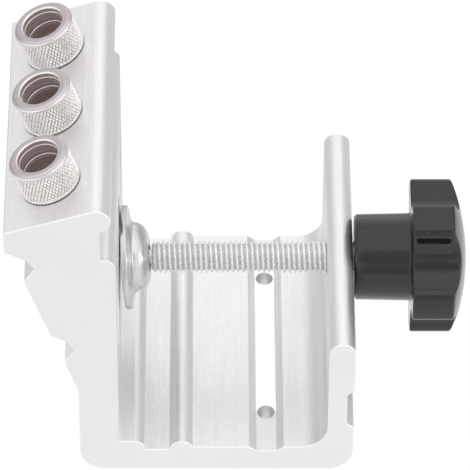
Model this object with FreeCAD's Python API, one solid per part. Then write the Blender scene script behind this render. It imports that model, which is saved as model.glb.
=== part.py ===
import FreeCAD, Part
import math
import os

# Angled drilling jig with a screw clamp, in millimetres.
# The origin is the centre of the base's underside. +X points at the knob, +Y to the rear, +Z up.
# The body is one extrusion along Y: a sloping head with three drill bushes, a thick left wall,
# a floor and a thin right wall that carries the clamp screw.

Vector = FreeCAD.Vector
AXIS_X = Vector(1, 0, 0)
AXIS_Y = Vector(0, 1, 0)
AXIS_Z = Vector(0, 0, 1)

# overall sizes of the body
jig_length = 71.6
left_wall_thickness = 9.5
jaw_width = 50.1
right_wall_thickness = 6.25
right_wall_height = 43.8
right_wall_top_flat = 0.05
floor_thickness = 8.0
base_corner_radius = 6.4
jaw_corner_radius = 6.4
end_chamfer = 0.25
cut_overrun = 1.0
match_tolerance = 0.002

# groove along the floor, with the two holes that fasten the jig to a bench
floor_groove_wall_distance = 14.6
floor_groove_side_width = 1.75
floor_groove_hole_margin = 0.25
floor_groove_depth = 1.4
bench_hole_diameter = 4.3
bench_hole_front_margin = 12.6
bench_hole_rear_margin = 14.0

# channel, round rib and rounded shelf at the foot of the left wall
channel_depth = 0.9
channel_width = 6.0
rib_radius = 2.9
rib_height = 1.8
shelf_height = 2.0
shelf_width = 6.1
shelf_radius = 2.9

# trapezoid groove along the outside of the right wall
side_groove_height = 14.9
side_groove_mouth = 12.7
side_groove_bottom = 9.8
side_groove_depth = 1.7

# sloping head, measured along and across the drill axis, and the slanted wall under it
drill_tilt = 19.0
drill_exit_height = 41.38
guide_length = 46.0
head_outer_offset = 11.37
head_side_height = 6.4
head_corner_radius = 0.5
head_underside_radius = 1.2
slant_tilt = 17.9
slant_foot_height = 28.2
slant_blend_radius = 6.0

# two saw-tooth notches in the slanted outside of the left wall, measured along and into it
notch_count = 2
notch_first_drop = 10.35
notch_last_rise = 16.65
notch_step = 2.75
notch_root_depth = 2.85
notch_apex_depth = 3.75
notch_apex_drop = 3.25
notch_lip_depth = 0.3
notch_lip_drop = 6.05
notch_foot_drop = 8.4
notch_edge_radius = 1.2

# inside of the left wall: shoulder, recess and the head's nose
recess_height = 9.03
shoulder_radius = 2.9
nose_offset = 10.0
nose_radius = 3.5
nose_overhang = 2.62

# drill bushes
bush_count = 3
bush_end_margin = 13.3
bush_bore_diameter = 9.5
bush_collar_wall = 2.5
bush_collar_height = 9.0
bush_collar_chamfer = 0.9
bush_foot_chamfer = 0.3
bush_shank_wall = 1.25
bush_shank_length = 15.0
bush_shank_chamfer = 0.6
bush_mouth_chamfer = 0.3
bush_lead_step = 0.1
bush_lead_depth = 1.4
bush_second_lead_depth = 4.3
bush_fit = 0.02
drill_clearance = 0.3

# clamp screw
thread_major_diameter = 7.8
thread_pitch = 1.25
thread_depth = 0.76
thread_running_clearance = 0.06
screw_drop = 6.8
screw_hole_chamfer = 0.5
ball_diameter = 5.0
neck_diameter = 3.8
thread_end_gap = 0.4
stud_collar_sides = 6
stud_collar_across_flats = 10.0
stud_collar_length = 5.0
stud_depth_in_knob = 17.0
stud_fit = 0.02

# star knob
knob_wall_gap = 0.4
hub_diameter = 21.2
hub_taper = 0.25
hub_length = 13.6
hub_bevel = 0.6
hub_fillet = 0.8
lobe_count = 5
knob_valley_rim = 2.7
knob_valley_depth = 5.55
knob_grip_length = 9.8
knob_dome_height = 3.6
knob_scallop_radius = 8.0
knob_lobe_rounding = 2.2
knob_edge_radius = 0.5
knob_phase = 105.0

# swivel pad, snap ring and the pad's lean at rest
pad_diameter = 25.3
pad_rim_thickness = 1.5
pad_rim_rounding = 0.35
pad_flank_height = 2.9
pad_boss_diameter = 16.9
pad_mouth_diameter = 8.0
pad_lip_thickness = 1.05
pad_wall_gap = 0.15
pad_lean = 4.2
socket_floor_thickness = 0.5
socket_clearance = 0.1
ring_wire_diameter = 0.8
ring_ball_clearance = 0.23
ring_offset = 1.5
ring_gap_angle = 60.0
ring_side_clearance = 0.3
ring_outer_clearance = 0.35

# blank strip in the floor groove
strip_thickness = 0.12
strip_side_gap = 0.05
strip_rear_margin = 4.0

# Shares of a curve's own sizes, chosen by hand.
flank_curve_shares = (0.42, 0.22)
boss_curve_shares = (0.68, 0.70)
crest_flat_share = 0.125
root_flat_share = 0.25

# Places worked out from the sizes above.
half_length = jig_length / 2
half_width = (left_wall_thickness + jaw_width + right_wall_thickness) / 2
left_inner_x = -half_width + left_wall_thickness
right_inner_x = half_width - right_wall_thickness
floor_groove_x = right_inner_x - floor_groove_wall_distance
floor_groove_bottom = bench_hole_diameter + 2 * floor_groove_hole_margin
bench_hole_rows = (bench_hole_front_margin - half_length, half_length - bench_hole_rear_margin)
screw_height = right_wall_height - screw_drop
tilt = math.radians(drill_tilt)
drill_direction = Vector(-math.sin(tilt), 0, math.cos(tilt))
across_direction = Vector(math.cos(tilt), 0, math.sin(tilt))
head_centre = Vector(left_inner_x, 0, drill_exit_height) + drill_direction * guide_length
bush_pitch = (jig_length - 2 * bush_end_margin) / (bush_count - 1)
bush_bore = bush_bore_diameter / 2
bush_shank = bush_bore + bush_shank_wall
thread_radius = thread_major_diameter / 2
ball_radius = ball_diameter / 2
socket_radius = ball_radius + socket_clearance
ball_depth = socket_radius + socket_floor_thickness
ring_wire = ring_wire_diameter / 2
ring_reach = ball_radius + ring_ball_clearance + ring_wire
ring_radius = math.sqrt(ring_reach ** 2 - ring_offset ** 2)
pad_boss_height = ball_depth + ring_offset + ring_wire + ring_side_clearance + pad_lip_thickness
lean = math.radians(pad_lean)
ball_x = (left_inner_x + pad_wall_gap + ball_depth * math.cos(lean)
          + pad_diameter / 2 * math.sin(lean))
ball_centre = Vector(ball_x, 0, screw_height)
thread_start_x = ball_x - ball_depth + pad_boss_height + thread_end_gap
hub_face_x = half_width + knob_wall_gap
knob_back_x = hub_face_x + hub_length
knob_rim_x = knob_back_x + knob_grip_length
hub_radius = hub_diameter / 2
knob_valley_radius = hub_radius + knob_valley_rim
knob_radius = knob_valley_radius + knob_valley_depth
groove_bottom_z = floor_thickness - floor_groove_depth


def head_point(across, drop):
    """Point (x, z) in the head: across the drill axis, and down along it from the sloping face."""
    point = head_centre + across_direction * across - drill_direction * drop
    return point.x, point.z


def slant_point(depth, rise):
    """Point (x, z) by its depth into the left wall and its rise along the slanted outside."""
    slant = math.radians(slant_tilt)
    x = -half_width - rise * math.sin(slant) + depth * math.cos(slant)
    z = slant_foot_height + rise * math.cos(slant) + depth * math.sin(slant)
    return x, z


def corner_tangents(before, corner, after, radius):
    """The start, middle and end of the arc that rounds one corner of an outline."""
    to_before = (before - corner).normalize()
    to_after = (after - corner).normalize()
    half_angle = to_before.getAngle(to_after) / 2
    reach = radius / math.tan(half_angle)
    bisector = (to_before + to_after).normalize()
    centre = corner + bisector * (radius / math.sin(half_angle))
    return corner + to_before * reach, centre - bisector * radius, corner + to_after * reach


def rounded_outline(corners):
    """Closed wire through (point, radius) corners. One with no radius is the middle of a free arc."""
    edges = []
    starts = []
    ends = []
    for index, (corner, radius) in enumerate(corners):
        before = corners[index - 1][0]
        after = corners[(index + 1) % len(corners)][0]
        if radius is None:
            start = before
            end = after
            edges.append(Part.Arc(start, corner, end).toShape())
        elif radius > 0:
            start, middle, end = corner_tangents(before, corner, after, radius)
            edges.append(Part.Arc(start, middle, end).toShape())
        else:
            start = end = corner
        starts.append(start)
        ends.append(end)
    for index, end in enumerate(ends):
        start = starts[(index + 1) % len(starts)]
        if end.distanceToPoint(start) > match_tolerance:
            edges.append(Part.LineSegment(end, start).toShape())
    return Part.Wire(Part.__sortEdges__(edges))


def revolved(points, origin, direction):
    """Solid of a closed polygon (along, radius) turned about an axis through the origin."""
    side = direction.cross(AXIS_Y).normalize()
    corners = [origin + direction * along + side * radius for along, radius in points]
    wire = Part.makePolygon(corners + corners[:1])
    return Part.Face(wire).revolve(origin, direction, 360)


def rod(radius, length, origin, direction):
    return Part.makeCylinder(radius, length, origin, direction)


def body_outline():
    """The extrusion's outline in the XZ plane, from the base's left corner and round by the right."""
    channel_floor = floor_thickness - channel_depth
    shelf_top = floor_thickness + shelf_height
    channel_left_x = left_inner_x + shelf_width
    rib_x = channel_left_x + channel_width + rib_radius
    bottom_half = floor_groove_bottom / 2
    mouth_half = bottom_half + floor_groove_side_width
    side_slope = (side_groove_mouth - side_groove_bottom) / 2
    side_top = side_groove_height + side_groove_mouth
    side_x = half_width - side_groove_depth
    wall_round = (right_wall_thickness - right_wall_top_flat) / 2
    shelf_round = min(shelf_radius, shelf_height + channel_depth) - end_chamfer
    nose_x, nose_z = head_point(nose_offset, nose_radius)
    recess_x = nose_x + nose_radius - nose_overhang
    recess_top = nose_z - math.sqrt(nose_radius ** 2 - (recess_x - nose_x) ** 2)
    shoulder_z = recess_top - recess_height
    shoulder_round = min(shoulder_radius, left_inner_x - recess_x)
    outline = [
        (-half_width, 0, base_corner_radius),
        (half_width, 0, base_corner_radius),
        (half_width, side_groove_height, 0),
        (side_x, side_groove_height + side_slope, 0),
        (side_x, side_top - side_slope, 0),
        (half_width, side_top, 0),
        (half_width, right_wall_height, wall_round),
        (right_inner_x, right_wall_height, wall_round),
        (right_inner_x, floor_thickness, jaw_corner_radius),
        (floor_groove_x + mouth_half, floor_thickness, 0),
        (floor_groove_x + bottom_half, groove_bottom_z, 0),
        (floor_groove_x - bottom_half, groove_bottom_z, 0),
        (floor_groove_x - mouth_half, floor_thickness, 0),
        (rib_x, floor_thickness, 0),
        (rib_x, channel_floor, 0),
        (channel_left_x, channel_floor, 0),
        (channel_left_x, shelf_top, shelf_round),
        (left_inner_x, shelf_top, 0),
        (left_inner_x, shoulder_z, shoulder_round),
        (recess_x, shoulder_z, 0),
        (recess_x, recess_top, 0),
        (nose_x + nose_radius, nose_z, None),
        (*head_point(nose_offset, 0), 0),
    ]
    face_left_x, face_left_z = head_point(-head_outer_offset, 0)
    outline.append((face_left_x, face_left_z, head_corner_radius))
    outline.append((face_left_x, face_left_z - head_side_height, head_underside_radius))
    first_rise = (face_left_z - slant_foot_height) / math.cos(math.radians(slant_tilt)) - notch_first_drop
    notch_pitch = (first_rise - notch_last_rise) / (notch_count - 1)
    for notch in range(notch_count):
        rise = first_rise - notch * notch_pitch
        if notch > 0:
            outline.append((*slant_point(0, rise + notch_step), notch_edge_radius))
        outline.append((*slant_point(notch_root_depth, rise), 0))
        outline.append((*slant_point(notch_apex_depth, rise - notch_apex_drop), 0))
        outline.append((*slant_point(notch_lip_depth, rise - notch_lip_drop), 0))
        outline.append((*slant_point(0, rise - notch_foot_drop), notch_edge_radius))
    outline.append((-half_width, slant_foot_height, slant_blend_radius))
    return [(Vector(x, -half_length, z), radius) for x, z, radius in outline], rib_x


def jig_body():
    corners, rib_x = body_outline()
    body = Part.Face(rounded_outline(corners)).extrude(AXIS_Y * jig_length)
    rib_z = floor_thickness + rib_height - rib_radius
    rib = rod(rib_radius, jig_length, Vector(rib_x, -half_length, rib_z), AXIS_Y)
    body = body.fuse(rib).removeSplitter()
    ends = [edge for edge in body.Edges
            if abs(abs(edge.CenterOfMass.y) - half_length) < match_tolerance]
    body = body.makeChamfer(end_chamfer, ends)
    for y in bush_rows():
        body = body.cut(bush_hole(y))
    for y in bench_hole_rows:
        start = Vector(floor_groove_x, y, -cut_overrun)
        depth = floor_thickness + 2 * cut_overrun
        body = body.cut(rod(bench_hole_diameter / 2, depth, start, AXIS_Z))
    return body.cut(screw_hole()).removeSplitter()


def bush_rows():
    return [bush_end_margin - half_length + row * bush_pitch for row in range(bush_count)]


def bush_hole(y):
    """Seat for a bush's shank, and the wider drill passage that runs on into the jaw."""
    face = head_centre + AXIS_Y * y
    seat_radius = bush_shank + bush_fit
    passage_radius = bush_bore + drill_clearance
    reach = guide_length + passage_radius / math.tan(tilt) + cut_overrun
    seat = rod(seat_radius, bush_shank_length + cut_overrun,
               face + drill_direction * cut_overrun, -drill_direction)
    return seat.fuse(rod(passage_radius, reach, face, -drill_direction))


def screw_hole():
    """Clearance hole through the right wall, countersunk on both faces."""
    radius = thread_radius + thread_running_clearance
    points = [
        (-cut_overrun, 0),
        (-cut_overrun, radius + screw_hole_chamfer + cut_overrun),
        (screw_hole_chamfer, radius),
        (right_wall_thickness - screw_hole_chamfer, radius),
        (right_wall_thickness + cut_overrun, radius + screw_hole_chamfer + cut_overrun),
        (right_wall_thickness + cut_overrun, 0),
    ]
    return revolved(points, Vector(right_inner_x, 0, screw_height), AXIS_X)


def drill_bush(y):
    """Knurled collar on the head's face, shank inside it and a stepped lead into the bore."""
    collar = bush_bore + bush_collar_wall
    mouth = bush_bore + 2 * bush_lead_step
    top = bush_collar_height
    points = [
        (top, mouth + bush_mouth_chamfer),
        (top, collar - bush_collar_chamfer),
        (top - bush_collar_chamfer, collar),
        (bush_foot_chamfer, collar),
        (0, collar - bush_foot_chamfer),
        (0, bush_shank),
        (-bush_shank_length + bush_shank_chamfer, bush_shank),
        (-bush_shank_length, bush_shank - bush_shank_chamfer),
        (-bush_shank_length, bush_bore),
        (top - bush_second_lead_depth - bush_lead_step, bush_bore),
        (top - bush_second_lead_depth, bush_bore + bush_lead_step),
        (top - bush_lead_depth - bush_lead_step, bush_bore + bush_lead_step),
        (top - bush_lead_depth, mouth),
        (top - bush_mouth_chamfer, mouth),
    ]
    return revolved(points, head_centre + AXIS_Y * y, drill_direction)


def thread_points(start, end):
    """Outline of the screw thread from start to end: V grooves at the thread's pitch."""
    crest = thread_pitch * crest_flat_share
    root = thread_pitch * root_flat_share
    flank = (thread_pitch - crest - root) / 2
    root_radius = thread_radius - thread_depth
    points = [(start, root_radius)]
    for turn in range(int((end - start) / thread_pitch)):
        x = start + turn * thread_pitch
        points.append((x + flank, thread_radius))
        points.append((x + flank + crest, thread_radius))
        points.append((x + flank + crest + flank, root_radius))
        points.append((x + thread_pitch, root_radius))
    return points


def clamp_spindle():
    """Threaded screw: ball end in the pad, six-sided collar moulded into the knob."""
    neck = neck_diameter / 2
    points = [(0, 0), (0, neck)]
    points += [(x - ball_x, radius) for x, radius in
               [(thread_start_x, neck)] + thread_points(thread_start_x, hub_face_x)]
    stud_end = hub_face_x + stud_depth_in_knob - ball_x
    points += [(points[-1][0], thread_radius), (stud_end, thread_radius), (stud_end, 0)]
    screw = revolved(points, ball_centre, AXIS_X)
    ball = Part.makeSphere(ball_radius, ball_centre)
    return screw.fuse([ball, stud_collar(0)]).removeSplitter()


def stud_collar(clearance):
    """Six-sided collar at the screw's inner end; with a clearance it is the knob's pocket."""
    start_x = hub_face_x + stud_depth_in_knob - stud_collar_length
    corner = (stud_collar_across_flats / 2 + clearance) / math.cos(math.pi / stud_collar_sides)
    turns = [2 * math.pi * side / stud_collar_sides for side in range(stud_collar_sides + 1)]
    wire = Part.makePolygon([
        Vector(start_x, corner * math.cos(turn), screw_height + corner * math.sin(turn))
        for turn in turns
    ])
    return Part.Face(wire).extrude(AXIS_X * (stud_collar_length + clearance))


def knob():
    """Star knob: lobed grip under a shallow dome, and a tapered hub round the screw."""
    centre = Vector(knob_back_x, 0, screw_height)
    grip_height = knob_grip_length + knob_dome_height + cut_overrun
    grip = rod(knob_radius, grip_height, centre, AXIS_X)
    scallop_reach = knob_valley_radius + knob_scallop_radius
    for lobe in range(lobe_count):
        turn = math.radians(knob_phase + 360 / lobe_count * (lobe + 1 / 2))
        place = centre + Vector(-cut_overrun, scallop_reach * math.cos(turn),
                                scallop_reach * math.sin(turn))
        grip = grip.cut(rod(knob_scallop_radius, grip_height + 2 * cut_overrun, place, AXIS_X))
    sides = [edge for edge in grip.Edges
             if abs(edge.BoundBox.XLength - grip_height) < match_tolerance
             and abs(edge.BoundBox.YLength) + abs(edge.BoundBox.ZLength) < match_tolerance
             and corner_distance(edge) > knob_radius - match_tolerance]
    grip = grip.makeFillet(knob_lobe_rounding, sides)
    dome_radius = (knob_radius ** 2 + knob_dome_height ** 2) / (2 * knob_dome_height)
    dome_top_x = knob_rim_x + knob_dome_height
    dome = Part.makeSphere(dome_radius, Vector(dome_top_x - dome_radius, 0, screw_height))
    grip = grip.common(dome)
    grip = grip.makeFillet(knob_edge_radius, grip_rim_edges(grip))
    solid = grip.fuse(hub_solid()).removeSplitter()
    solid = solid.makeFillet(hub_fillet, hub_corner_edges(solid))
    stud_start = Vector(hub_face_x - cut_overrun, 0, screw_height)
    stud = rod(thread_radius + stud_fit, stud_depth_in_knob + cut_overrun, stud_start, AXIS_X)
    return solid.cut([stud, stud_collar(stud_fit)])


def corner_distance(edge):
    """Distance of an edge parallel to X from the screw's axis."""
    middle = edge.CenterOfMass
    return math.hypot(middle.y, middle.z - screw_height)


def grip_rim_edges(grip):
    """Edges of the grip's front and back rims, which all get one small rounding."""
    rims = []
    for edge in grip.Edges:
        box = edge.BoundBox
        lengthwise = box.YLength + box.ZLength < match_tolerance
        seam = corner_distance(edge) < knob_valley_radius - end_chamfer
        if not lengthwise and not (seam and box.XLength > end_chamfer):
            rims.append(edge)
    return rims


def hub_corner_edges(solid):
    """Circle where the hub meets the back of the grip."""
    return [edge for edge in solid.Edges
            if abs(edge.CenterOfMass.x - knob_back_x) < match_tolerance
            and abs(edge.BoundBox.ZLength - hub_diameter) < match_tolerance]


def hub_solid():
    small = hub_radius - hub_taper
    points = [
        (0, 0),
        (0, small - hub_bevel),
        (hub_bevel, small),
        (hub_length, hub_radius),
        (hub_length + cut_overrun, hub_radius),
        (hub_length + cut_overrun, 0),
    ]
    return revolved(points, Vector(hub_face_x, 0, screw_height), AXIS_X)


def curve_point(start, end, shares):
    """Point between two (along, radius) points, by a share of each difference."""
    along = start[0] + (end[0] - start[0]) * shares[0]
    radius = end[1] + (start[1] - end[1]) * shares[1]
    return along, radius


def swivel_pad():
    """Round pad that swivels on the screw's ball, leaning as it hangs at rest."""
    outer = pad_diameter / 2
    boss = pad_boss_diameter / 2
    mouth = pad_mouth_diameter / 2
    origin = ball_centre - AXIS_X * ball_depth

    def place(point):
        return origin + AXIS_X * point[0] + AXIS_Z * point[1]

    rim_top = (pad_rim_thickness, outer - pad_rim_rounding)
    flank_end = (pad_flank_height, boss)
    boss_end = (pad_boss_height, mouth)
    line_points = [
        (0, 0),
        (0, outer - pad_rim_rounding),
        (pad_rim_rounding, outer),
        (pad_rim_thickness - pad_rim_rounding, outer),
        rim_top,
    ]
    edges = [Part.LineSegment(place(a), place(b)).toShape()
             for a, b in zip(line_points, line_points[1:])]
    for start, end, shares in ((rim_top, flank_end, flank_curve_shares),
                               (flank_end, boss_end, boss_curve_shares)):
        middle = curve_point(start, end, shares)
        edges.append(Part.Arc(place(start), place(middle), place(end)).toShape())
    edges.append(Part.LineSegment(place(boss_end), place((pad_boss_height, 0))).toShape())
    edges.append(Part.LineSegment(place((pad_boss_height, 0)), place((0, 0))).toShape())
    pad = Part.Face(Part.Wire(edges)).revolve(ball_centre, AXIS_X, 360)
    pad = pad.cut([Part.makeSphere(socket_radius, ball_centre),
                   rod(socket_radius, pad_boss_height, ball_centre, AXIS_X),
                   ring_groove()])
    pad.rotate(ball_centre, AXIS_Y, -pad_lean)
    return pad


def ring_groove():
    """Room in the pad's boss for the snap ring while the pad swivels about the ball."""
    start = ring_offset - ring_wire - ring_side_clearance
    length = ring_wire_diameter + 2 * ring_side_clearance
    radius = ring_radius + ring_wire + ring_outer_clearance
    return rod(radius, length, ball_centre + AXIS_X * start, AXIS_X)


def pad_snap_ring():
    """Open wire ring in the pad's groove that holds the ball in its socket."""
    centre = ball_centre + AXIS_X * ring_offset
    return Part.makeTorus(ring_radius, ring_wire, centre, AXIS_X, 0, 360, 360 - ring_gap_angle)


def label_strip():
    """Thin blank strip on the groove's bottom, pierced by the bench holes."""
    width = floor_groove_bottom - 2 * strip_side_gap
    front_y, rear_y = bench_hole_rows
    length = rear_y - front_y + strip_rear_margin
    corner = Vector(floor_groove_x - width / 2, front_y, groove_bottom_z)
    strip = Part.makeBox(width, length, strip_thickness, corner)
    for y in bench_hole_rows:
        start = Vector(floor_groove_x, y, groove_bottom_z - cut_overrun)
        strip = strip.cut(rod(bench_hole_diameter / 2, strip_thickness + 2 * cut_overrun,
                              start, AXIS_Z))
    return strip


def write(node, shape):
    if not shape.isValid():
        raise ValueError(node + " is not a valid solid")
    solids = shape.Solids
    print(node, "solids:", len(solids), "volume:", round(shape.Volume, 1))
    if len(solids) == 1:
        shape = solids[0]
    shape.exportStep(os.path.join("parts", node + ".step"))


def main():
    os.makedirs("parts", exist_ok=True)
    write("jig_body", jig_body())
    for name, y in zip(("front", "middle", "rear"), bush_rows()):
        write("drill_bush_" + name, drill_bush(y))
    write("clamp_spindle", clamp_spindle())
    write("knob", knob())
    write("swivel_pad", swivel_pad())
    write("pad_snap_ring", pad_snap_ring())
    write("label_strip", label_strip())


main()
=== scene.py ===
"""Looks of the angled drilling jig: satin extrusion, knurled bushes, clamp screw and star knob."""
import math

import bpy
from mathutils import Matrix, Vector


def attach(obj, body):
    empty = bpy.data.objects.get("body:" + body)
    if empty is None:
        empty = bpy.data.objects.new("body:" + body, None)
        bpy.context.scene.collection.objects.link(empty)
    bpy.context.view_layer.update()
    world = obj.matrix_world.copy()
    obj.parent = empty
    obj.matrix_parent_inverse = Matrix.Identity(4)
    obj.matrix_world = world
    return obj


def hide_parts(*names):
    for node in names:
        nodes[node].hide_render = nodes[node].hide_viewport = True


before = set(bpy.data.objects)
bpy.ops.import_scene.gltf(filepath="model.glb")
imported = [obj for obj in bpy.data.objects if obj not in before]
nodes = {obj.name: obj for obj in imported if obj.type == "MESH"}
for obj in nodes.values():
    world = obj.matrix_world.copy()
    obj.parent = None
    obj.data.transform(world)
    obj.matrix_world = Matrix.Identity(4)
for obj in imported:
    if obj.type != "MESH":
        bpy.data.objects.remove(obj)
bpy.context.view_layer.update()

MM = 0.001
X_AXIS = Vector((1, 0, 0))
Y_AXIS = Vector((0, 1, 0))

# Sizes are in millimetres. A ring that keeps an edge crisp stands this far from it.
edge_gap = 0.1

# Drill bushes.
bush_names = ("drill_bush_front", "drill_bush_middle", "drill_bush_rear")
drill_tilt = math.radians(19.0)
drill_axis = Vector((-math.sin(drill_tilt), 0, math.cos(drill_tilt)))
guide_length = 46.0
drill_exit_height = 41.38
left_inner_x = -23.425
bush_pitch = 22.5
bush_bore = 4.75
bush_collar = 7.25
bush_collar_height = 9.0
bush_foot_chamfer = 0.3
bush_shank = 6.0
bush_shank_length = 15.0
bush_shank_chamfer = 0.6
bush_mouth_chamfer = 0.3
bush_lead_step = 0.1
bush_lead_depth = 1.4
bush_second_lead_depth = 4.3
bush_mouth = bush_bore + 2 * bush_lead_step
bush_sharp_angle = math.radians(28)

# The collar's rounded top: its size, how flat it is, and the zone that follows each angle.
bush_top_rounding = 0.9
bush_top_flatness = 0.6
# The rim zone on the rounded edge takes a painted highlight.
bush_top_zones = ((25, "face"), (45, "rim"), (65, "face"), (80, "face"))

# Diamond knurl: two sets of grooves that fade over a few rings at either end.
knurl_count = 50
knurl_samples = 8
knurl_angle = math.radians(30)
knurl_depth = 0.34
knurl_steepness = 1.5
knurl_fade_rings = 2

# Clamp spindle.
screw_height = 37.0
thread_radius = 3.9
thread_depth = 0.76
thread_pitch = 1.25
thread_root_share = 0.2
thread_flank_share = 0.62
thread_samples = 16
thread_segments = 64
thread_end_gap = 0.4
thread_lead_in = 0.1
thread_run_out = 0.05
ball_radius = 2.5
ball_steps = 14
neck_radius = 1.9
stud_depth = 17.0
stud_collar_length = 5.0
stud_collar_flat = 5.0
stud_collar_sides = 6
spindle_sharp_angle = math.radians(40)

# Star knob.
lobe_count = 5
knob_radius = 18.85
valley_radius = 13.3
scallop_radius = 8.0
lobe_rounding = 2.2
knob_phase = math.radians(105.0)
knob_edge = 0.5
knob_bore_radius = 3.92
hub_face_x = 33.325
hub_length = 13.6
hub_face_ring_radius = 5.9
hub_small = 10.35
hub_large = 10.6
hub_bevel = 0.6
hub_bevel_step = 0.02
hub_bevel_rounding = 0.05
hub_fillet = 0.8
hub_back_shares = (0.5, 1.0)
knob_back_x = hub_face_x + hub_length
grip_length = 9.8
grip_flank_shares = (0.35, 0.7)
dome_height = 3.598
crest_steps = 4
lobe_corner_steps = 8
scallop_steps = 10
hub_steps = 6
fillet_steps = 8
knob_edge_steps = 4
dome_steps = 16
knob_sharp_angle = math.radians(50)

# Swivel pad. The middle shares place the flank's and the boss's curves between their ends.
pad_radius = 12.65
pad_rim = 1.5
pad_rounding = 0.35
pad_flank = 2.9
pad_flank_middle = (0.42, 0.22)
pad_boss_radius = 8.45
pad_boss = 6.35
pad_boss_middle = (0.68, 0.70)
pad_mouth_radius = 4.0
pad_mouth_chamfer = 0.15
pad_lean = math.radians(4.2)
pad_wall_gap = 0.15
ball_depth = 3.1
socket_radius = 2.6
groove_radius = 3.5
groove_start = 0.8
groove_end = 2.2
pad_face_shares = (0.15, 0.5, 0.85)
pad_corner_steps = 5
pad_flank_steps = 12
pad_boss_steps = 20
socket_steps = 9
pad_segments = 128
pad_sharp_angle = math.radians(35)

ball_x = (left_inner_x + pad_wall_gap + ball_depth * math.cos(pad_lean)
          + pad_radius * math.sin(pad_lean))
ball_centre = Vector((ball_x, 0, screw_height))
thread_start_x = ball_x - ball_depth + pad_boss + thread_end_gap

# The bench holes in the floor groove, whose walls the body's material finds by their place and paints
# with shade.
bench_hole_x = 12.075
bench_hole_radius = 2.15
bench_hole_reach = 30.0
bench_hole_margin = 0.05
groove_floor_z = 6.6

# Most of a noise's values lie in this range.
noise_range = (0.3, 0.7)

# Aluminium: greys of the etched grain and its clouds, a painted highlight on the broken edges and
# painted shade on the bench hole walls.
etch_greys = (0.82, 0.975)
cloud_grey = 0.885
cloud_ramp = (0.35, 0.65)
cloud_share = 0.4
edge_highlight_grey = 1.0
bench_hole_shade_grey = 0.86
mark_levels = (-0.5, 0.5)
mark_middle = 0.5
mark_contrast = 0.5
line_share = 0.6
die_line_stretch = (1, 0.03, 1)
cloud_stretch = (1, 0.25, 1)
body_roughness = (0.34, 0.40)
edge_roughness = 0.4

# A face's turn goes from 0 along the extrusion to 1 on a sawn end, with the broken edges between.
edge_start_ramp = (0.25, 0.45)
edge_end_ramp = (0.82, 0.95)
sawn_ramp = (0.5, 0.9)
sawn_mark_share = 0.15

# Turned steels: colour and roughness, then how fine their marks are. The bushes' rim colour is a
# painted highlight, and their foot colour is a painted shade.
bush_face_looks = ((0.60, 0.545, 0.56), 0.30)
bush_highlight_looks = ((0.96, 0.93, 0.93), 0.40)
bush_foot_shade_looks = ((0.14, 0.11, 0.11), 0.50)
bush_marks = 2500.0
pad_looks = ((0.70, 0.70, 0.705), 0.22)
ring_looks = ((0.45, 0.45, 0.46), 0.30)
pad_marks = 1500.0
steel_tint_spread = (0.975, 1.02)
steel_roughness_spread = (0.9, 1.1)

# The bushes' bores, brown with light rings.
bore_colours = ((0.72, 0.60, 0.58), (1.0, 0.97, 0.96))
bore_ring_ramp = (0.50, 0.66)
bore_roughness = (0.42, 0.36)

# Ridged steels: colours of grooves and crests, with the grooves' colour a painted shade, height share
# where the crests' colour is full, and metallic share.
knurl_shade_looks = ((0.14, 0.10, 0.095), (1.0, 0.96, 0.955), 0.33, 0.5)
zinc_shade_looks = ((0.58, 0.58, 0.585), (1.0, 1.0, 1.0), 0.38, 0.6)
ridge_wear = (0.82, 1.0)
ridge_roughness = (0.26, 0.34)

# Knob and strip.
knob_greys = (0.007, 0.05)
speck_ramp = (0.70, 0.78)
knob_roughness = (0.10, 0.16)
strip_greys = (0.97, 1.0)
strip_roughness = (0.55, 0.65)

# The room: its even level, then patches as direction, inner and outer angle in degrees, and change.
world_level = 1.04
world_patches = (
    ((0.75, 0.62, 0.05), 12, 48, -0.50),
    ((-0.75, 0.62, 0.05), 10, 42, -0.40),
    ((-0.44, 0.70, 0.56), 8, 26, -0.10),
    ((0.0, -0.98, 0.10), 8, 20, -0.35),
    ((0.0, -0.72, 0.69), 13, 22, -0.40),
    ((0.0, -0.05, 1.0), 15, 45, 0.20),
    ((1.0, -0.05, 0.02), 5, 9, 4.5),
    ((0.86, -0.35, 0.34), 8, 20, 0.45),
)

# The floor, in metres: its glowing share, its glow for the camera, and its glow for the metal,
# which falls from the front value to the rear one between two places along Y.
floor_reach = 6.0
floor_grey = 0.9
floor_share = 0.93
floor_glow = 1.02
floor_fall = (0.02, 0.12)
floor_metal_glow = (0.97, 0.60)

# The camera, far in front of the jig with a long lens. The picture is square, the camera's place
# is in millimetres, and the nearest and farthest that it sees are in metres.
picture_pixels = 470.0
centre_pixel = 205.0
focal_pixels = 4400.0
sensor_width = 36.0
camera_place = (-2.765, -743.2, 800.8)
camera_elevation = math.radians(45.5)
camera_reach = (0.05, 50.0)


# Materials.

def opaque(colour):
    return (*colour, 1.0)


def grey(value):
    return opaque((value, value, value))


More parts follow.
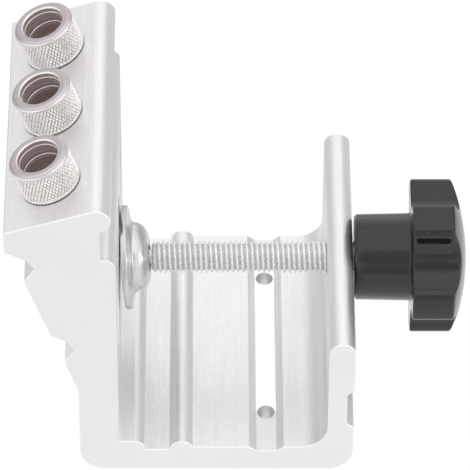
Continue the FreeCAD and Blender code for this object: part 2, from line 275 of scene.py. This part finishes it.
class NodeTree:
    """A node tree, with short calls for the nodes that the looks are made of."""

    def __init__(self, tree):
        self.tree = tree
        self.tree.nodes.clear()

    def put(self, value, socket):
        """Links an output to a socket, or sets the socket to a number or colour."""
        if hasattr(value, "is_output"):
            self.tree.links.new(value, socket)
        else:
            socket.default_value = value

    def add(self, kind, inputs=None, **settings):
        """Adds a node with its settings, then fills its inputs by name or by number."""
        node = self.tree.nodes.new("ShaderNode" + kind)
        for name, value in settings.items():
            setattr(node, name, value)
        for name, value in (inputs or {}).items():
            self.put(value, node.inputs[name])
        return node

    def math(self, operation, first, second=0.0, clamp=False):
        node = self.add("Math", {0: first, 1: second}, operation=operation, use_clamp=clamp)
        return node.outputs[0]

    def dot(self, vector, direction):
        node = self.add("VectorMath", {0: vector, 1: direction}, operation="DOT_PRODUCT")
        return node.outputs["Value"]

    def split(self, vector):
        return self.add("SeparateXYZ", {0: vector}).outputs

    def ramp(self, value, source, target=(0.0, 1.0)):
        """Smooth step from the source range to the target range."""
        inputs = {"Value": value, "From Min": source[0], "From Max": source[1],
                  "To Min": target[0], "To Max": target[1]}
        return self.add("MapRange", inputs, interpolation_type="SMOOTHSTEP").outputs["Result"]

    def mix(self, share, first, second, kind="RGBA"):
        inputs = {"Factor": share, "A": first, "B": second}
        return self.add("Mix", inputs, data_type=kind).outputs["Result"]


class Surface(NodeTree):
    """One procedural material of the object."""

    def __init__(self, name):
        self.material = bpy.data.materials.new(name)
        self.material.use_nodes = True
        super().__init__(self.material.node_tree)
        self.shader = self.add("BsdfPrincipled")
        self.add("OutputMaterial", {"Surface": self.shader.outputs["BSDF"]})
        self.place = self.add("TexCoord").outputs["Object"]

    def finish(self, **inputs):
        """Fills the shader's inputs, named with _ for a space, and gives the material."""
        for name, value in inputs.items():
            self.put(value, self.shader.inputs[name.replace("_", " ")])
        return self.material

    def noise(self, scale, detail=2.0, roughness=0.5, stretch=(1, 1, 1)):
        """Noise in the object's own space; a factor below 1 in stretch draws it out that way."""
        vector = self.add("Mapping", {"Vector": self.place, "Scale": stretch}).outputs["Vector"]
        inputs = {"Vector": vector, "Scale": scale, "Detail": detail, "Roughness": roughness}
        return self.add("TexNoise", inputs).outputs["Fac"]

    def streaks(self, direction, scale, detail=2.0):
        """Noise that changes only along one direction, for turned marks."""
        inputs = {"W": self.dot(self.place, direction), "Scale": scale, "Detail": detail}
        return self.add("TexNoise", inputs, noise_dimensions="1D").outputs["Fac"]

    def bump(self, height, distance, strength):
        """Relief that a full step of the height raises by the distance, in metres."""
        inputs = {"Height": height, "Distance": distance, "Strength": strength}
        return self.add("Bump", inputs).outputs["Normal"]

    def within(self, value, low, high):
        """1 between two places in millimetres, and 0 elsewhere."""
        return self.math("MULTIPLY", self.math("GREATER_THAN", value, low * MM),
                         self.math("LESS_THAN", value, high * MM))

    def shaded_hole_walls(self):
        """1 on the walls of the bench holes, which are the only faces in this part of the floor; these
        walls take painted shade.
        """
        place = self.split(self.place)
        reach = bench_hole_radius + bench_hole_margin
        sideways = self.within(place["X"], bench_hole_x - reach, bench_hole_x + reach)
        along = self.within(place["Y"], -bench_hole_reach, bench_hole_reach)
        deep = self.within(place["Z"], bench_hole_margin, groove_floor_z - bench_hole_margin)
        return self.math("MULTIPLY", self.math("MULTIPLY", sideways, along), deep)

    def across(self):
        """Surface normal's share along Y: 1 on the sawn ends, 0 along the extrusion."""
        normal = self.add("NewGeometry").outputs["True Normal"]
        return self.math("ABSOLUTE", self.split(normal)["Y"])


def body_material():
    """Etched aluminium: grain and die lines along the extrusion, even sawn ends, a painted highlight
    on the broken edges and painted shade on the bench hole walls.
    """
    surface = Surface("satin_aluminium")
    grain = surface.noise(scale=2300.0, roughness=0.6)
    lines = surface.noise(scale=1500.0, stretch=die_line_stretch)
    cloud = surface.noise(scale=90.0, detail=3.0, stretch=cloud_stretch)
    across = surface.across()
    # Mask of the broken edges, used for a painted highlight in the colour and for more roughness.
    edge = surface.math("MULTIPLY", surface.ramp(across, edge_start_ramp),
                        surface.ramp(across, edge_end_ramp, (1.0, 0.0)))
    along = surface.ramp(across, sawn_ramp, (1.0, sawn_mark_share))
    speckle = surface.math("MULTIPLY", surface.ramp(grain, noise_range, mark_levels), along)
    streak = surface.math("MULTIPLY", surface.ramp(lines, noise_range, mark_levels), along)
    marks = surface.math("ADD", surface.math("MULTIPLY", streak, line_share), speckle)
    contrast = surface.math("MULTIPLY", marks, mark_contrast)
    level = surface.math("ADD", contrast, mark_middle, clamp=True)
    colour = surface.mix(level, grey(etch_greys[0]), grey(etch_greys[1]))
    colour = surface.mix(surface.ramp(cloud, cloud_ramp, (0.0, cloud_share)), colour, grey(cloud_grey))
    # Painted highlight: the broken edges are lifted to white.
    colour = surface.mix(edge, colour, grey(edge_highlight_grey))
    # Painted shade: the bench hole walls are darkened to the grey of the shade inside the holes.
    colour = surface.mix(surface.shaded_hole_walls(), colour, grey(bench_hole_shade_grey))
    rough = surface.math("ADD", surface.ramp(cloud, noise_range, body_roughness),
                         surface.math("MULTIPLY", edge, edge_roughness))
    normal = surface.bump(marks, distance=0.00003, strength=0.5)
    return surface.finish(Base_Color=colour, Roughness=rough, Normal=normal, Metallic=0.85)


def steel_material(name, looks, direction, marks):
    """Turned and plated steel, with fine rings about its axis."""
    surface = Surface(name)
    tint, roughness = looks
    rings = surface.streaks(direction, marks)
    grain = surface.noise(scale=300.0)
    low, high = [opaque(min(1.0, part * share) for part in tint) for share in steel_tint_spread]
    colour = surface.mix(surface.ramp(grain, noise_range), low, high)
    rough = surface.ramp(grain, noise_range, [roughness * share for share in steel_roughness_spread])
    normal = surface.bump(rings, distance=0.00002, strength=0.15)
    return surface.finish(Base_Color=colour, Roughness=rough, Normal=normal, Metallic=1.0)


def bored_material():
    """Bore of a bush: brown, with light turned rings."""
    surface = Surface("bush_bore_steel")
    rings = surface.streaks(drill_axis, scale=1100.0, detail=3.0)
    dark, light = bore_colours
    colour = surface.mix(surface.ramp(rings, bore_ring_ramp), opaque(dark), opaque(light))
    rough = surface.ramp(rings, noise_range, bore_roughness)
    normal = surface.bump(rings, distance=0.0001, strength=0.6)
    return surface.finish(Base_Color=colour, Roughness=rough, Normal=normal, Metallic=0.7)


def ridged_material(name, looks):
    """Plated ridges: painted shade in the grooves, bright from a share of their height upwards."""
    surface = Surface(name)
    low, high, full_height, metallic = looks
    height = surface.add("Attribute", attribute_name="ridge").outputs["Fac"]
    grain = surface.noise(scale=1200.0)
    worn = surface.ramp(grain, noise_range, ridge_wear)
    # Painted shade: the colour darkens with depth into the knurl's grooves and the thread's roots.
    level = surface.math("MULTIPLY", surface.ramp(height, (0.0, full_height)), worn)
    colour = surface.mix(level, opaque(low), opaque(high))
    rough = surface.ramp(grain, noise_range, ridge_roughness)
    normal = surface.bump(grain, distance=0.00002, strength=0.3)
    return surface.finish(Base_Color=colour, Roughness=rough, Normal=normal, Metallic=metallic)


def knob_material():
    """Glossy black moulding with a faint waviness and a few dust specks."""
    surface = Surface("black_moulding")
    wave = surface.noise(scale=260.0)
    dust = surface.noise(scale=1500.0, detail=1.0)
    colour = surface.mix(surface.ramp(dust, speck_ramp), grey(knob_greys[0]), grey(knob_greys[1]))
    rough = surface.ramp(wave, noise_range, knob_roughness)
    normal = surface.bump(wave, distance=0.00012, strength=0.25)
    return surface.finish(Base_Color=colour, Roughness=rough, Normal=normal, IOR=1.58)


def strip_material():
    """White matte film, with a painted glow that lifts it out of the shade in the groove."""
    surface = Surface("white_film")
    mottle = surface.noise(scale=900.0)
    colour = surface.mix(surface.ramp(mottle, noise_range), grey(strip_greys[0]), grey(strip_greys[1]))
    rough = surface.ramp(mottle, noise_range, strip_roughness)
    # Painted light: the emission makes the film glow though it is no lamp.
    return surface.finish(Base_Color=colour, Roughness=rough, Emission_Color=grey(1.0),
                          Emission_Strength=0.26)


# Meshes. Points are in millimetres until a mesh is written.

def make_piece(name, points, faces, material, body, replaced):
    mesh = bpy.data.meshes.new(name)
    mesh.from_pydata([Vector(point) * MM for point in points], [], faces)
    mesh.validate()
    mesh.update()
    piece = bpy.data.objects.new(name, mesh)
    bpy.context.scene.collection.objects.link(piece)
    mesh.materials.append(material)
    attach(piece, body)
    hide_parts(replaced)
    return piece


def smooth_piece(piece, angle):
    """Smooth shading, kept sharp where faces meet at more than the angle."""
    mesh = piece.data
    mesh.polygons.foreach_set("use_smooth", [True] * len(mesh.polygons))
    mesh.set_sharp_from_angle(angle=angle)


def store_ridges(piece, rings, columns, crest, depth):
    """Gives each point its height on its ridge, from 0 in a groove to 1 on a crest or a plain face."""
    heights = []
    for along, radius in rings:
        for column in range(columns):
            reach = radius(2 * math.pi * column / columns) if callable(radius) else crest
            heights.append(max(0.0, 1 - (crest - reach) / depth))
    heights += [1.0] * (len(piece.data.vertices) - len(heights))
    piece.data.attributes.new("ridge", "FLOAT", "POINT").data.foreach_set("value", heights)


def grid_faces(rows, columns, closed_rows=False, flip=False):
    """Quads between rings of points; each ring is closed, and the last row may join the first."""
    faces = []
    last = rows if closed_rows else rows - 1
    for row in range(last):
        upper = (row + 1) % rows
        for column in range(columns):
            right = (column + 1) % columns
            face = (row * columns + column, row * columns + right,
                    upper * columns + right, upper * columns + column)
            faces.append(face[::-1] if flip else face)
    return faces


def cap_ends(points, faces, rows, columns, first_centre, last_centre):
    """Adds a fan of triangles at either end of a grid."""
    first = len(points)
    last = first + 1
    points += [first_centre, last_centre]
    start = (rows - 1) * columns
    faces += [(column, first, (column + 1) % columns) for column in range(columns)]
    faces += [(start + column, start + (column + 1) % columns, last) for column in range(columns)]


def turned_points(rings, segments, origin, direction):
    """Points of rings given as (along, radius or function of the angle)."""
    other = direction.cross(Y_AXIS).normalized()
    points = []
    for along, radius in rings:
        for segment in range(segments):
            angle = 2 * math.pi * segment / segments
            reach = radius(angle) if callable(radius) else radius
            points.append(origin + direction * along
                          + (Y_AXIS * math.cos(angle) + other * math.sin(angle)) * reach)
    return points


def turned_piece(name, rings, segments, origin, ends, material, body, node):
    """A piece turned about +X, closed at two places along its axis."""
    points = turned_points(rings, segments, origin, X_AXIS)
    faces = grid_faces(len(rings), segments, flip=True)
    first, last = [origin + X_AXIS * along for along in ends]
    cap_ends(points, faces, len(rings), segments, first, last)
    return make_piece(name, points, faces, material, body, node)


def arc_rings(start_angle, end_angle, steps, centre_along, centre_radius, radius):
    """Rings along an arc of the profile, angle 0 pointing along the axis."""
    rings = []
    for step in range(steps + 1):
        angle = start_angle + (end_angle - start_angle) * step / steps
        rings.append((centre_along + radius * math.cos(angle),
                      centre_radius + radius * math.sin(angle)))
    return rings


def curve_rings(start, middle, end, steps):
    """Rings along the quadratic curve through three profile points, without the first."""
    control = [2 * through - (first + last) / 2 for first, through, last in zip(start, middle, end)]
    rings = []
    for step in range(1, steps + 1):
        share = step / steps
        weights = ((1 - share) ** 2, 2 * share * (1 - share), share ** 2)
        rings.append(tuple(weights[0] * first + weights[1] * pull + weights[2] * last
                           for first, pull, last in zip(start, control, end)))
    return rings


# Drill bushes.

def knurl_height(angle, along, rise):
    """Height of the diamond knurl, from 0 in a groove to 1 on a point."""
    def wave(turns):
        return 1 - abs(2 * (turns % 1.0) - 1)

    around = knurl_count * angle / (2 * math.pi)
    first = wave(around + along / rise)
    second = wave(around - along / rise)
    return min(1.0, knurl_steepness * min(first, second))


def collar_top_rings():
    """Flat face and rounded edge of the collar's top."""
    corner = bush_collar - bush_top_rounding
    rings = [(bush_collar_height, bush_mouth + bush_mouth_chamfer, "face"),
             (bush_collar_height, corner - edge_gap, "face")]
    for degrees, zone in bush_top_zones:
        angle = math.radians(degrees)
        drop = bush_top_flatness * math.sin(angle) + (1 - bush_top_flatness) * (1 - math.cos(angle))
        rings.append((bush_collar_height - bush_top_rounding * drop,
                      corner + bush_top_rounding * math.sin(angle), zone))
    return rings


def knurl_rings():
    """Knurled side of the collar, from the top down."""
    rise = 2 * math.pi * bush_collar / knurl_count / math.tan(knurl_angle)
    step = rise / knurl_samples
    top = bush_collar_height - bush_top_rounding
    count = int((top - bush_foot_chamfer) / step)
    rings = []
    for index in range(count + 1):
        along = top - index * step
        fade = min(1.0, index / knurl_fade_rings, (count - index) / knurl_fade_rings)

        def radius(angle, along=along, fade=fade):
            height = knurl_height(angle, along, rise)
            return bush_collar - knurl_depth * (1 - height) * fade

        rings.append((along, radius, "knurl"))
    return rings


def bush_rings():
    """Closed profile of a bush from the mouth round by the outside, with each ring's zone."""
    lead_end = bush_collar_height - bush_lead_depth
    second_lead_end = bush_collar_height - bush_second_lead_depth
    return collar_top_rings() + knurl_rings() + [
        # The foot chamfer takes a painted shade, a dark contact line where the bush meets the face.
        (bush_foot_chamfer, bush_collar, "foot"),
        (0.0, bush_collar - bush_foot_chamfer, "bore"),
        (0.0, bush_shank, "bore"),
        (-bush_shank_length + bush_shank_chamfer, bush_shank, "bore"),
        (-bush_shank_length, bush_shank - bush_shank_chamfer, "bore"),
        (-bush_shank_length, bush_bore, "bore"),
        # The rim rings on the bore's steps and at the mouth chamfer take a painted highlight.
        (second_lead_end - bush_lead_step, bush_bore, "rim"),
        (second_lead_end, bush_bore + bush_lead_step, "bore"),
        (lead_end - bush_lead_step, bush_bore + bush_lead_step, "rim"),
        (lead_end, bush_mouth, "bore"),
        (bush_collar_height - bush_mouth_chamfer, bush_mouth, "rim"),
    ]


def add_bushes():
    # The rim steel paints highlights, and the foot steel paints shade.
    steels = {
        "face": steel_material("bush_face_steel", bush_face_looks, drill_axis, bush_marks),
        "rim": steel_material("bush_highlight_steel", bush_highlight_looks, drill_axis, bush_marks),
        "knurl": ridged_material("knurled_steel", knurl_shade_looks),
        "bore": bored_material(),
        "foot": steel_material("bush_foot_shade_steel", bush_foot_shade_looks, drill_axis, bush_marks),
    }
    zones = list(steels)
    face = Vector((left_inner_x, 0, drill_exit_height)) + drill_axis * guide_length
    rings = bush_rings()
    columns = knurl_count * knurl_samples
    profile = [(along, radius) for along, radius, zone in rings]
    face_zones = [zones.index(zone) for along, radius, zone in rings for column in range(columns)]
    for row, name in enumerate(bush_names):
        origin = face + Vector((0, (row - 1) * bush_pitch, 0))
        points = turned_points(profile, columns, origin, drill_axis)
        faces = grid_faces(len(rings), columns, closed_rows=True)
        piece = make_piece(name + "_knurled", points, faces, steels["face"], "jig", name)
        for zone in zones[1:]:
            piece.data.materials.append(steels[zone])
        piece.data.polygons.foreach_set("material_index", face_zones)
        store_ridges(piece, profile, columns, bush_collar, knurl_depth)
        smooth_piece(piece, bush_sharp_angle)


# Clamp spindle.

def thread_radius_at(angle, along):
    """Radius of the right-hand thread at an angle about +X and a place along it."""
    share = (along / thread_pitch - angle / (2 * math.pi)) % 1.0
    slope = abs(2 * share - 1)
    height = min(1.0, max(0.0, (slope - thread_root_share) / thread_flank_share))
    return thread_radius - thread_depth * (1 - height)


def six_sided(angle):
    """Radius of the collar inside the knob at an angle."""
    sector = math.pi / stud_collar_sides
    return stud_collar_flat / math.cos((angle + sector) % (2 * sector) - sector)


def spindle_rings():
    """Ball, neck, thread and the six-sided end, from the ball's tip along +X."""
    neck_half_angle = math.asin(neck_radius / ball_radius)
    rings = []
    for step in range(1, ball_steps + 1):
        angle = math.pi - (math.pi - neck_half_angle) * step / ball_steps
        rings.append((ball_radius * math.cos(angle), ball_radius * math.sin(angle)))
    start = thread_start_x - ball_x
    end = hub_face_x - ball_x
    first_limit = thread_radius - thread_depth - thread_lead_in
    rings.append((start, neck_radius))
    count = round((end - start) / thread_pitch * thread_samples)
    for index in range(count + 1):
        along = start + (end - start) * index / count
        limit = first_limit + along - start

        def radius(angle, along=along, limit=limit):
            return min(thread_radius_at(angle, along), limit)

        rings.append((along, radius))
    collar_end = end + stud_depth
    collar_start = collar_end - stud_collar_length
    rings += [
        (end + thread_run_out, thread_radius),
        (collar_start, thread_radius),
        (collar_start, six_sided),
        (collar_end, six_sided),
    ]
    return rings


def add_spindle():
    rings = spindle_rings()
    ends = (-ball_radius, rings[-1][0])
    material = ridged_material("zinc_steel", zinc_shade_looks)
    piece = turned_piece("clamp_spindle_threaded", rings, thread_segments, ball_centre, ends,
                         material, "screw", "clamp_spindle")
    store_ridges(piece, rings, thread_segments, thread_radius, thread_depth)
    smooth_piece(piece, spindle_sharp_angle)


# Star knob.

def polar(reach, angle):
    """Point (across, up) at a distance and an angle."""
    return Vector((math.cos(angle), math.sin(angle))) * reach


def half_turn(angle):
    """The same direction as an angle between half a turn back and half a turn on."""
    return (angle + math.pi) % (2 * math.pi) - math.pi


def knob_outline(inset):
    """Points (across, up) of the lobed outline, moved inwards by the inset."""
    sector = 2 * math.pi / lobe_count
    scallop_centre = valley_radius + scallop_radius
    corner_centre = knob_radius - lobe_rounding
    reach = scallop_radius + lobe_rounding
    corner_turn = math.acos((corner_centre ** 2 + scallop_centre ** 2 - reach ** 2)
                            / (2 * corner_centre * scallop_centre))
    crest_turn = sector / 2 - corner_turn
    points = []
    for lobe in range(lobe_count):
        crest = knob_phase + lobe * sector
        valley = crest + sector / 2
        corner_angle = crest + crest_turn
        corner = polar(corner_centre, corner_angle)
        hollow = polar(scallop_centre, valley)
        to_corner = corner - hollow
        contact = math.atan2(to_corner.y, to_corner.x)
        swing = half_turn(contact + math.pi - corner_angle)
        opening = half_turn(contact - valley - math.pi)
        half = [polar(knob_radius - inset, crest + crest_turn * step / crest_steps)
                for step in range(crest_steps)]
        half += [corner + polar(lobe_rounding - inset, corner_angle + swing * step / lobe_corner_steps)
                 for step in range(lobe_corner_steps)]
        half += [hollow + polar(scallop_radius + inset, contact - opening * step / scallop_steps)
                 for step in range(scallop_steps + 1)]
        points += half
        mirror_axis = polar(1.0, valley)
        points += [mirror_axis * (2 * point.dot(mirror_axis)) - point
                   for point in reversed(half[1:-1])]
    return points


def dome_x(radius):
    """Place along +X of the dome at a distance from the knob's axis."""
    sphere = (knob_radius ** 2 + dome_height ** 2) / (2 * dome_height)
    rim = knob_back_x + grip_length
    return rim + dome_height - sphere + math.sqrt(sphere ** 2 - radius ** 2)


def placed_ring(outline, along):
    """An outline about the knob's axis, at a place along +X that may depend on the point."""
    return [Vector((along(point) if callable(along) else along, point.x, screw_height + point.y))
            for point in outline]


def hub_rings(outline):
    """Rings of the bore, the hub's face and its side, with points at the outline's angles."""
    face_edge = hub_small - hub_bevel
    profile = [
        (knob_bore_radius, knob_back_x),
        (knob_bore_radius, hub_face_x),
        (hub_face_ring_radius, hub_face_x),
        (face_edge - edge_gap, hub_face_x),
        (face_edge, hub_face_x + hub_bevel_step),
        (hub_small - hub_bevel_rounding, hub_face_x + hub_bevel - hub_bevel_rounding),
        (hub_small, hub_face_x + hub_bevel + edge_gap),
    ]
    for step in range(1, hub_steps):
        share = step / hub_steps
        profile.append((hub_small + (hub_large - hub_small) * share,
                        hub_face_x + hub_bevel + (hub_length - hub_fillet - hub_bevel) * share))
    for step in range(fillet_steps + 1):
        angle = math.pi / 2 * step / fillet_steps
        profile.append((hub_large + hub_fillet * (1 - math.cos(angle)),
                        knob_back_x - hub_fillet + hub_fillet * math.sin(angle)))
    angles = [math.atan2(point.y, point.x) for point in outline]
    return [placed_ring([polar(radius, angle) for angle in angles], along)
            for radius, along in profile]


def grip_rings():
    """Rings of the lobes' side between two rounded edges, then of the dome."""
    full = knob_outline(0.0)
    inner = knob_outline(knob_edge)
    turns = [math.pi / 2 * step / knob_edge_steps for step in range(1, knob_edge_steps + 1)]
    rings = []
    for angle in turns:
        inset = knob_edge * (1 - math.sin(angle))
        rings.append(placed_ring(knob_outline(inset),
                                 knob_back_x + knob_edge * (1 - math.cos(angle))))
    for share in grip_flank_shares:
        rings.append(placed_ring(full, lambda point: knob_back_x + knob_edge
                                 + (dome_x(point.length) - knob_back_x - 2 * knob_edge) * share))
    rings.append(placed_ring(full, lambda point: dome_x(point.length) - knob_edge))
    for angle in turns:
        inset = knob_edge * (1 - math.cos(angle))
        drop = knob_edge * (1 - math.sin(angle))
        rings.append(placed_ring(knob_outline(inset), lambda point: dome_x(point.length) - drop))
    for step in range(1, dome_steps):
        shrunk = [point * (1 - step / dome_steps) for point in inner]
        rings.append(placed_ring(shrunk, lambda point: dome_x(point.length)))
    return rings


def add_knob():
    inner = knob_outline(knob_edge)
    rings = hub_rings(inner)
    hub_end = rings[-1]
    back = placed_ring(inner, knob_back_x)
    for share in hub_back_shares:
        rings.append([start.lerp(end, share) for start, end in zip(hub_end, back)])
    rings += grip_rings()
    points = [point for ring in rings for point in ring]
    faces = grid_faces(len(rings), len(inner))
    cap_ends(points, faces, len(rings), len(inner), Vector((knob_back_x, 0, screw_height)),
             Vector((dome_x(0), 0, screw_height)))
    piece = make_piece("star_knob", points, faces, knob_material(), "screw", "knob")
    smooth_piece(piece, knob_sharp_angle)


# Swivel pad.

def between(start, end, shares):
    """Profile point at a share of the way along and a share of the way up from the end's radius."""
    return (start[0] + (end[0] - start[0]) * shares[0], end[1] + (start[1] - end[1]) * shares[1])


def pad_rings():
    """Profile from the centre of the pad's face round to its socket."""
    corner = pad_radius - pad_rounding
    rim_top = (pad_rim, corner)
    flank_end = (pad_flank, pad_boss_radius)
    boss_end = (pad_boss, pad_mouth_radius)
    quarter = math.pi / 2
    rings = [(0.0, pad_radius * share) for share in pad_face_shares]
    rings += arc_rings(math.pi, quarter, pad_corner_steps, pad_rounding, corner, pad_rounding)
    rings += arc_rings(quarter, 0, pad_corner_steps, pad_rim - pad_rounding, corner, pad_rounding)
    rings += curve_rings(rim_top, between(rim_top, flank_end, pad_flank_middle), flank_end,
                         pad_flank_steps)
    rings += curve_rings(flank_end, between(flank_end, boss_end, pad_boss_middle), boss_end,
                         pad_boss_steps)
    rings += [
        (pad_boss, socket_radius + pad_mouth_chamfer),
        (pad_boss - pad_mouth_chamfer, socket_radius),
        (ball_depth + groove_end, socket_radius),
        (ball_depth + groove_end, groove_radius),
        (ball_depth + groove_start, groove_radius),
        (ball_depth + groove_start, socket_radius),
    ]
    for step in range(socket_steps):
        angle = quarter + quarter * step / socket_steps
        rings.append((ball_depth + socket_radius * math.cos(angle), socket_radius * math.sin(angle)))
    return rings


def add_pad():
    origin = ball_centre - X_AXIS * ball_depth
    ends = (0.0, ball_depth - socket_radius)
    material = steel_material("pad_steel", pad_looks, X_AXIS, pad_marks)
    piece = turned_piece("swivel_pad_turned", pad_rings(), pad_segments, origin, ends,
                         material, "pad", "swivel_pad")
    centre = Matrix.Translation(ball_centre * MM)
    piece.data.transform(centre @ Matrix.Rotation(-pad_lean, 4, "Y") @ centre.inverted())
    smooth_piece(piece, pad_sharp_angle)


# Pieces that keep their CAD shape.

def dress_kept_nodes():
    looks = {
        "jig_body": body_material(),
        "label_strip": strip_material(),
        "pad_snap_ring": steel_material("ring_steel", ring_looks, X_AXIS, pad_marks),
    }
    for name, material in looks.items():
        mesh = nodes[name].data
        mesh.materials.clear()
        mesh.materials.append(material)


# Stage, light and camera.

def add_floor():
    """Pale floor that glows evenly for the camera, and less behind the jig for the metal."""
    corners = [(-floor_reach, -floor_reach, 0), (floor_reach, -floor_reach, 0),
               (floor_reach, floor_reach, 0), (-floor_reach, floor_reach, 0)]
    mesh = bpy.data.meshes.new("floor")
    mesh.from_pydata(corners, [], [(0, 1, 2, 3)])
    floor = bpy.data.objects.new("floor", mesh)
    bpy.context.scene.collection.objects.link(floor)
    material = bpy.data.materials.new("pale_floor")
    material.use_nodes = True
    looks = NodeTree(material.node_tree)
    ray = looks.add("LightPath").outputs
    place = looks.split(looks.add("TexCoord").outputs["Object"])
    metal_glow = looks.ramp(place["Y"], floor_fall, floor_metal_glow)
    strength = looks.mix(ray["Is Camera Ray"], metal_glow, floor_glow, kind="FLOAT")
    seen = looks.math("ADD", ray["Is Camera Ray"], ray["Is Glossy Ray"], clamp=True)
    share = looks.math("MULTIPLY", seen, floor_share)
    diffuse = looks.add("BsdfDiffuse", {"Color": grey(floor_grey)}).outputs[0]
    glow = looks.add("Emission", {"Color": grey(1.0), "Strength": strength}).outputs[0]
    mixed = looks.add("MixShader", {0: share, 1: diffuse, 2: glow}).outputs[0]
    looks.add("OutputMaterial", {"Surface": mixed})
    mesh.materials.append(material)


def add_world():
    """Even white room, with dimmer and brighter patches for the metal to reflect."""
    world = bpy.data.worlds.new("studio")
    bpy.context.scene.world = world
    world.use_nodes = True
    room = NodeTree(world.node_tree)
    direction = room.add("TexCoord").outputs["Generated"]
    level = world_level
    for centre, inner, outer, change in world_patches:
        nearness = room.dot(direction, Vector(centre).normalized())
        edge = [math.cos(math.radians(angle)) for angle in (outer, inner)]
        level = room.math("ADD", room.ramp(nearness, edge, (0.0, change)), level)
    is_camera = room.add("LightPath").outputs["Is Camera Ray"]
    strength = room.mix(is_camera, level, 1.0, kind="FLOAT")
    background = room.add("Background", {"Color": grey(1.0), "Strength": strength}).outputs[0]
    room.add("OutputWorld", {"Surface": background})


def add_camera():
    """Looks down along the extrusion from the front."""
    data = bpy.data.cameras.new("camera")
    data.sensor_width = sensor_width
    data.lens = focal_pixels / picture_pixels * sensor_width
    data.shift_x = (picture_pixels / 2 - centre_pixel) / picture_pixels
    data.clip_start, data.clip_end = camera_reach
    camera = bpy.data.objects.new("camera", data)
    bpy.context.scene.collection.objects.link(camera)
    camera.location = Vector(camera_place) * MM
    camera.rotation_euler = (math.pi / 2 - camera_elevation, 0, 0)
    bpy.context.scene.camera = camera


def main():
    dress_kept_nodes()
    add_bushes()
    add_spindle()
    add_knob()
    add_pad()
    add_floor()
    add_world()
    add_camera()
    bpy.context.scene.view_settings.view_transform = "Standard"


main()
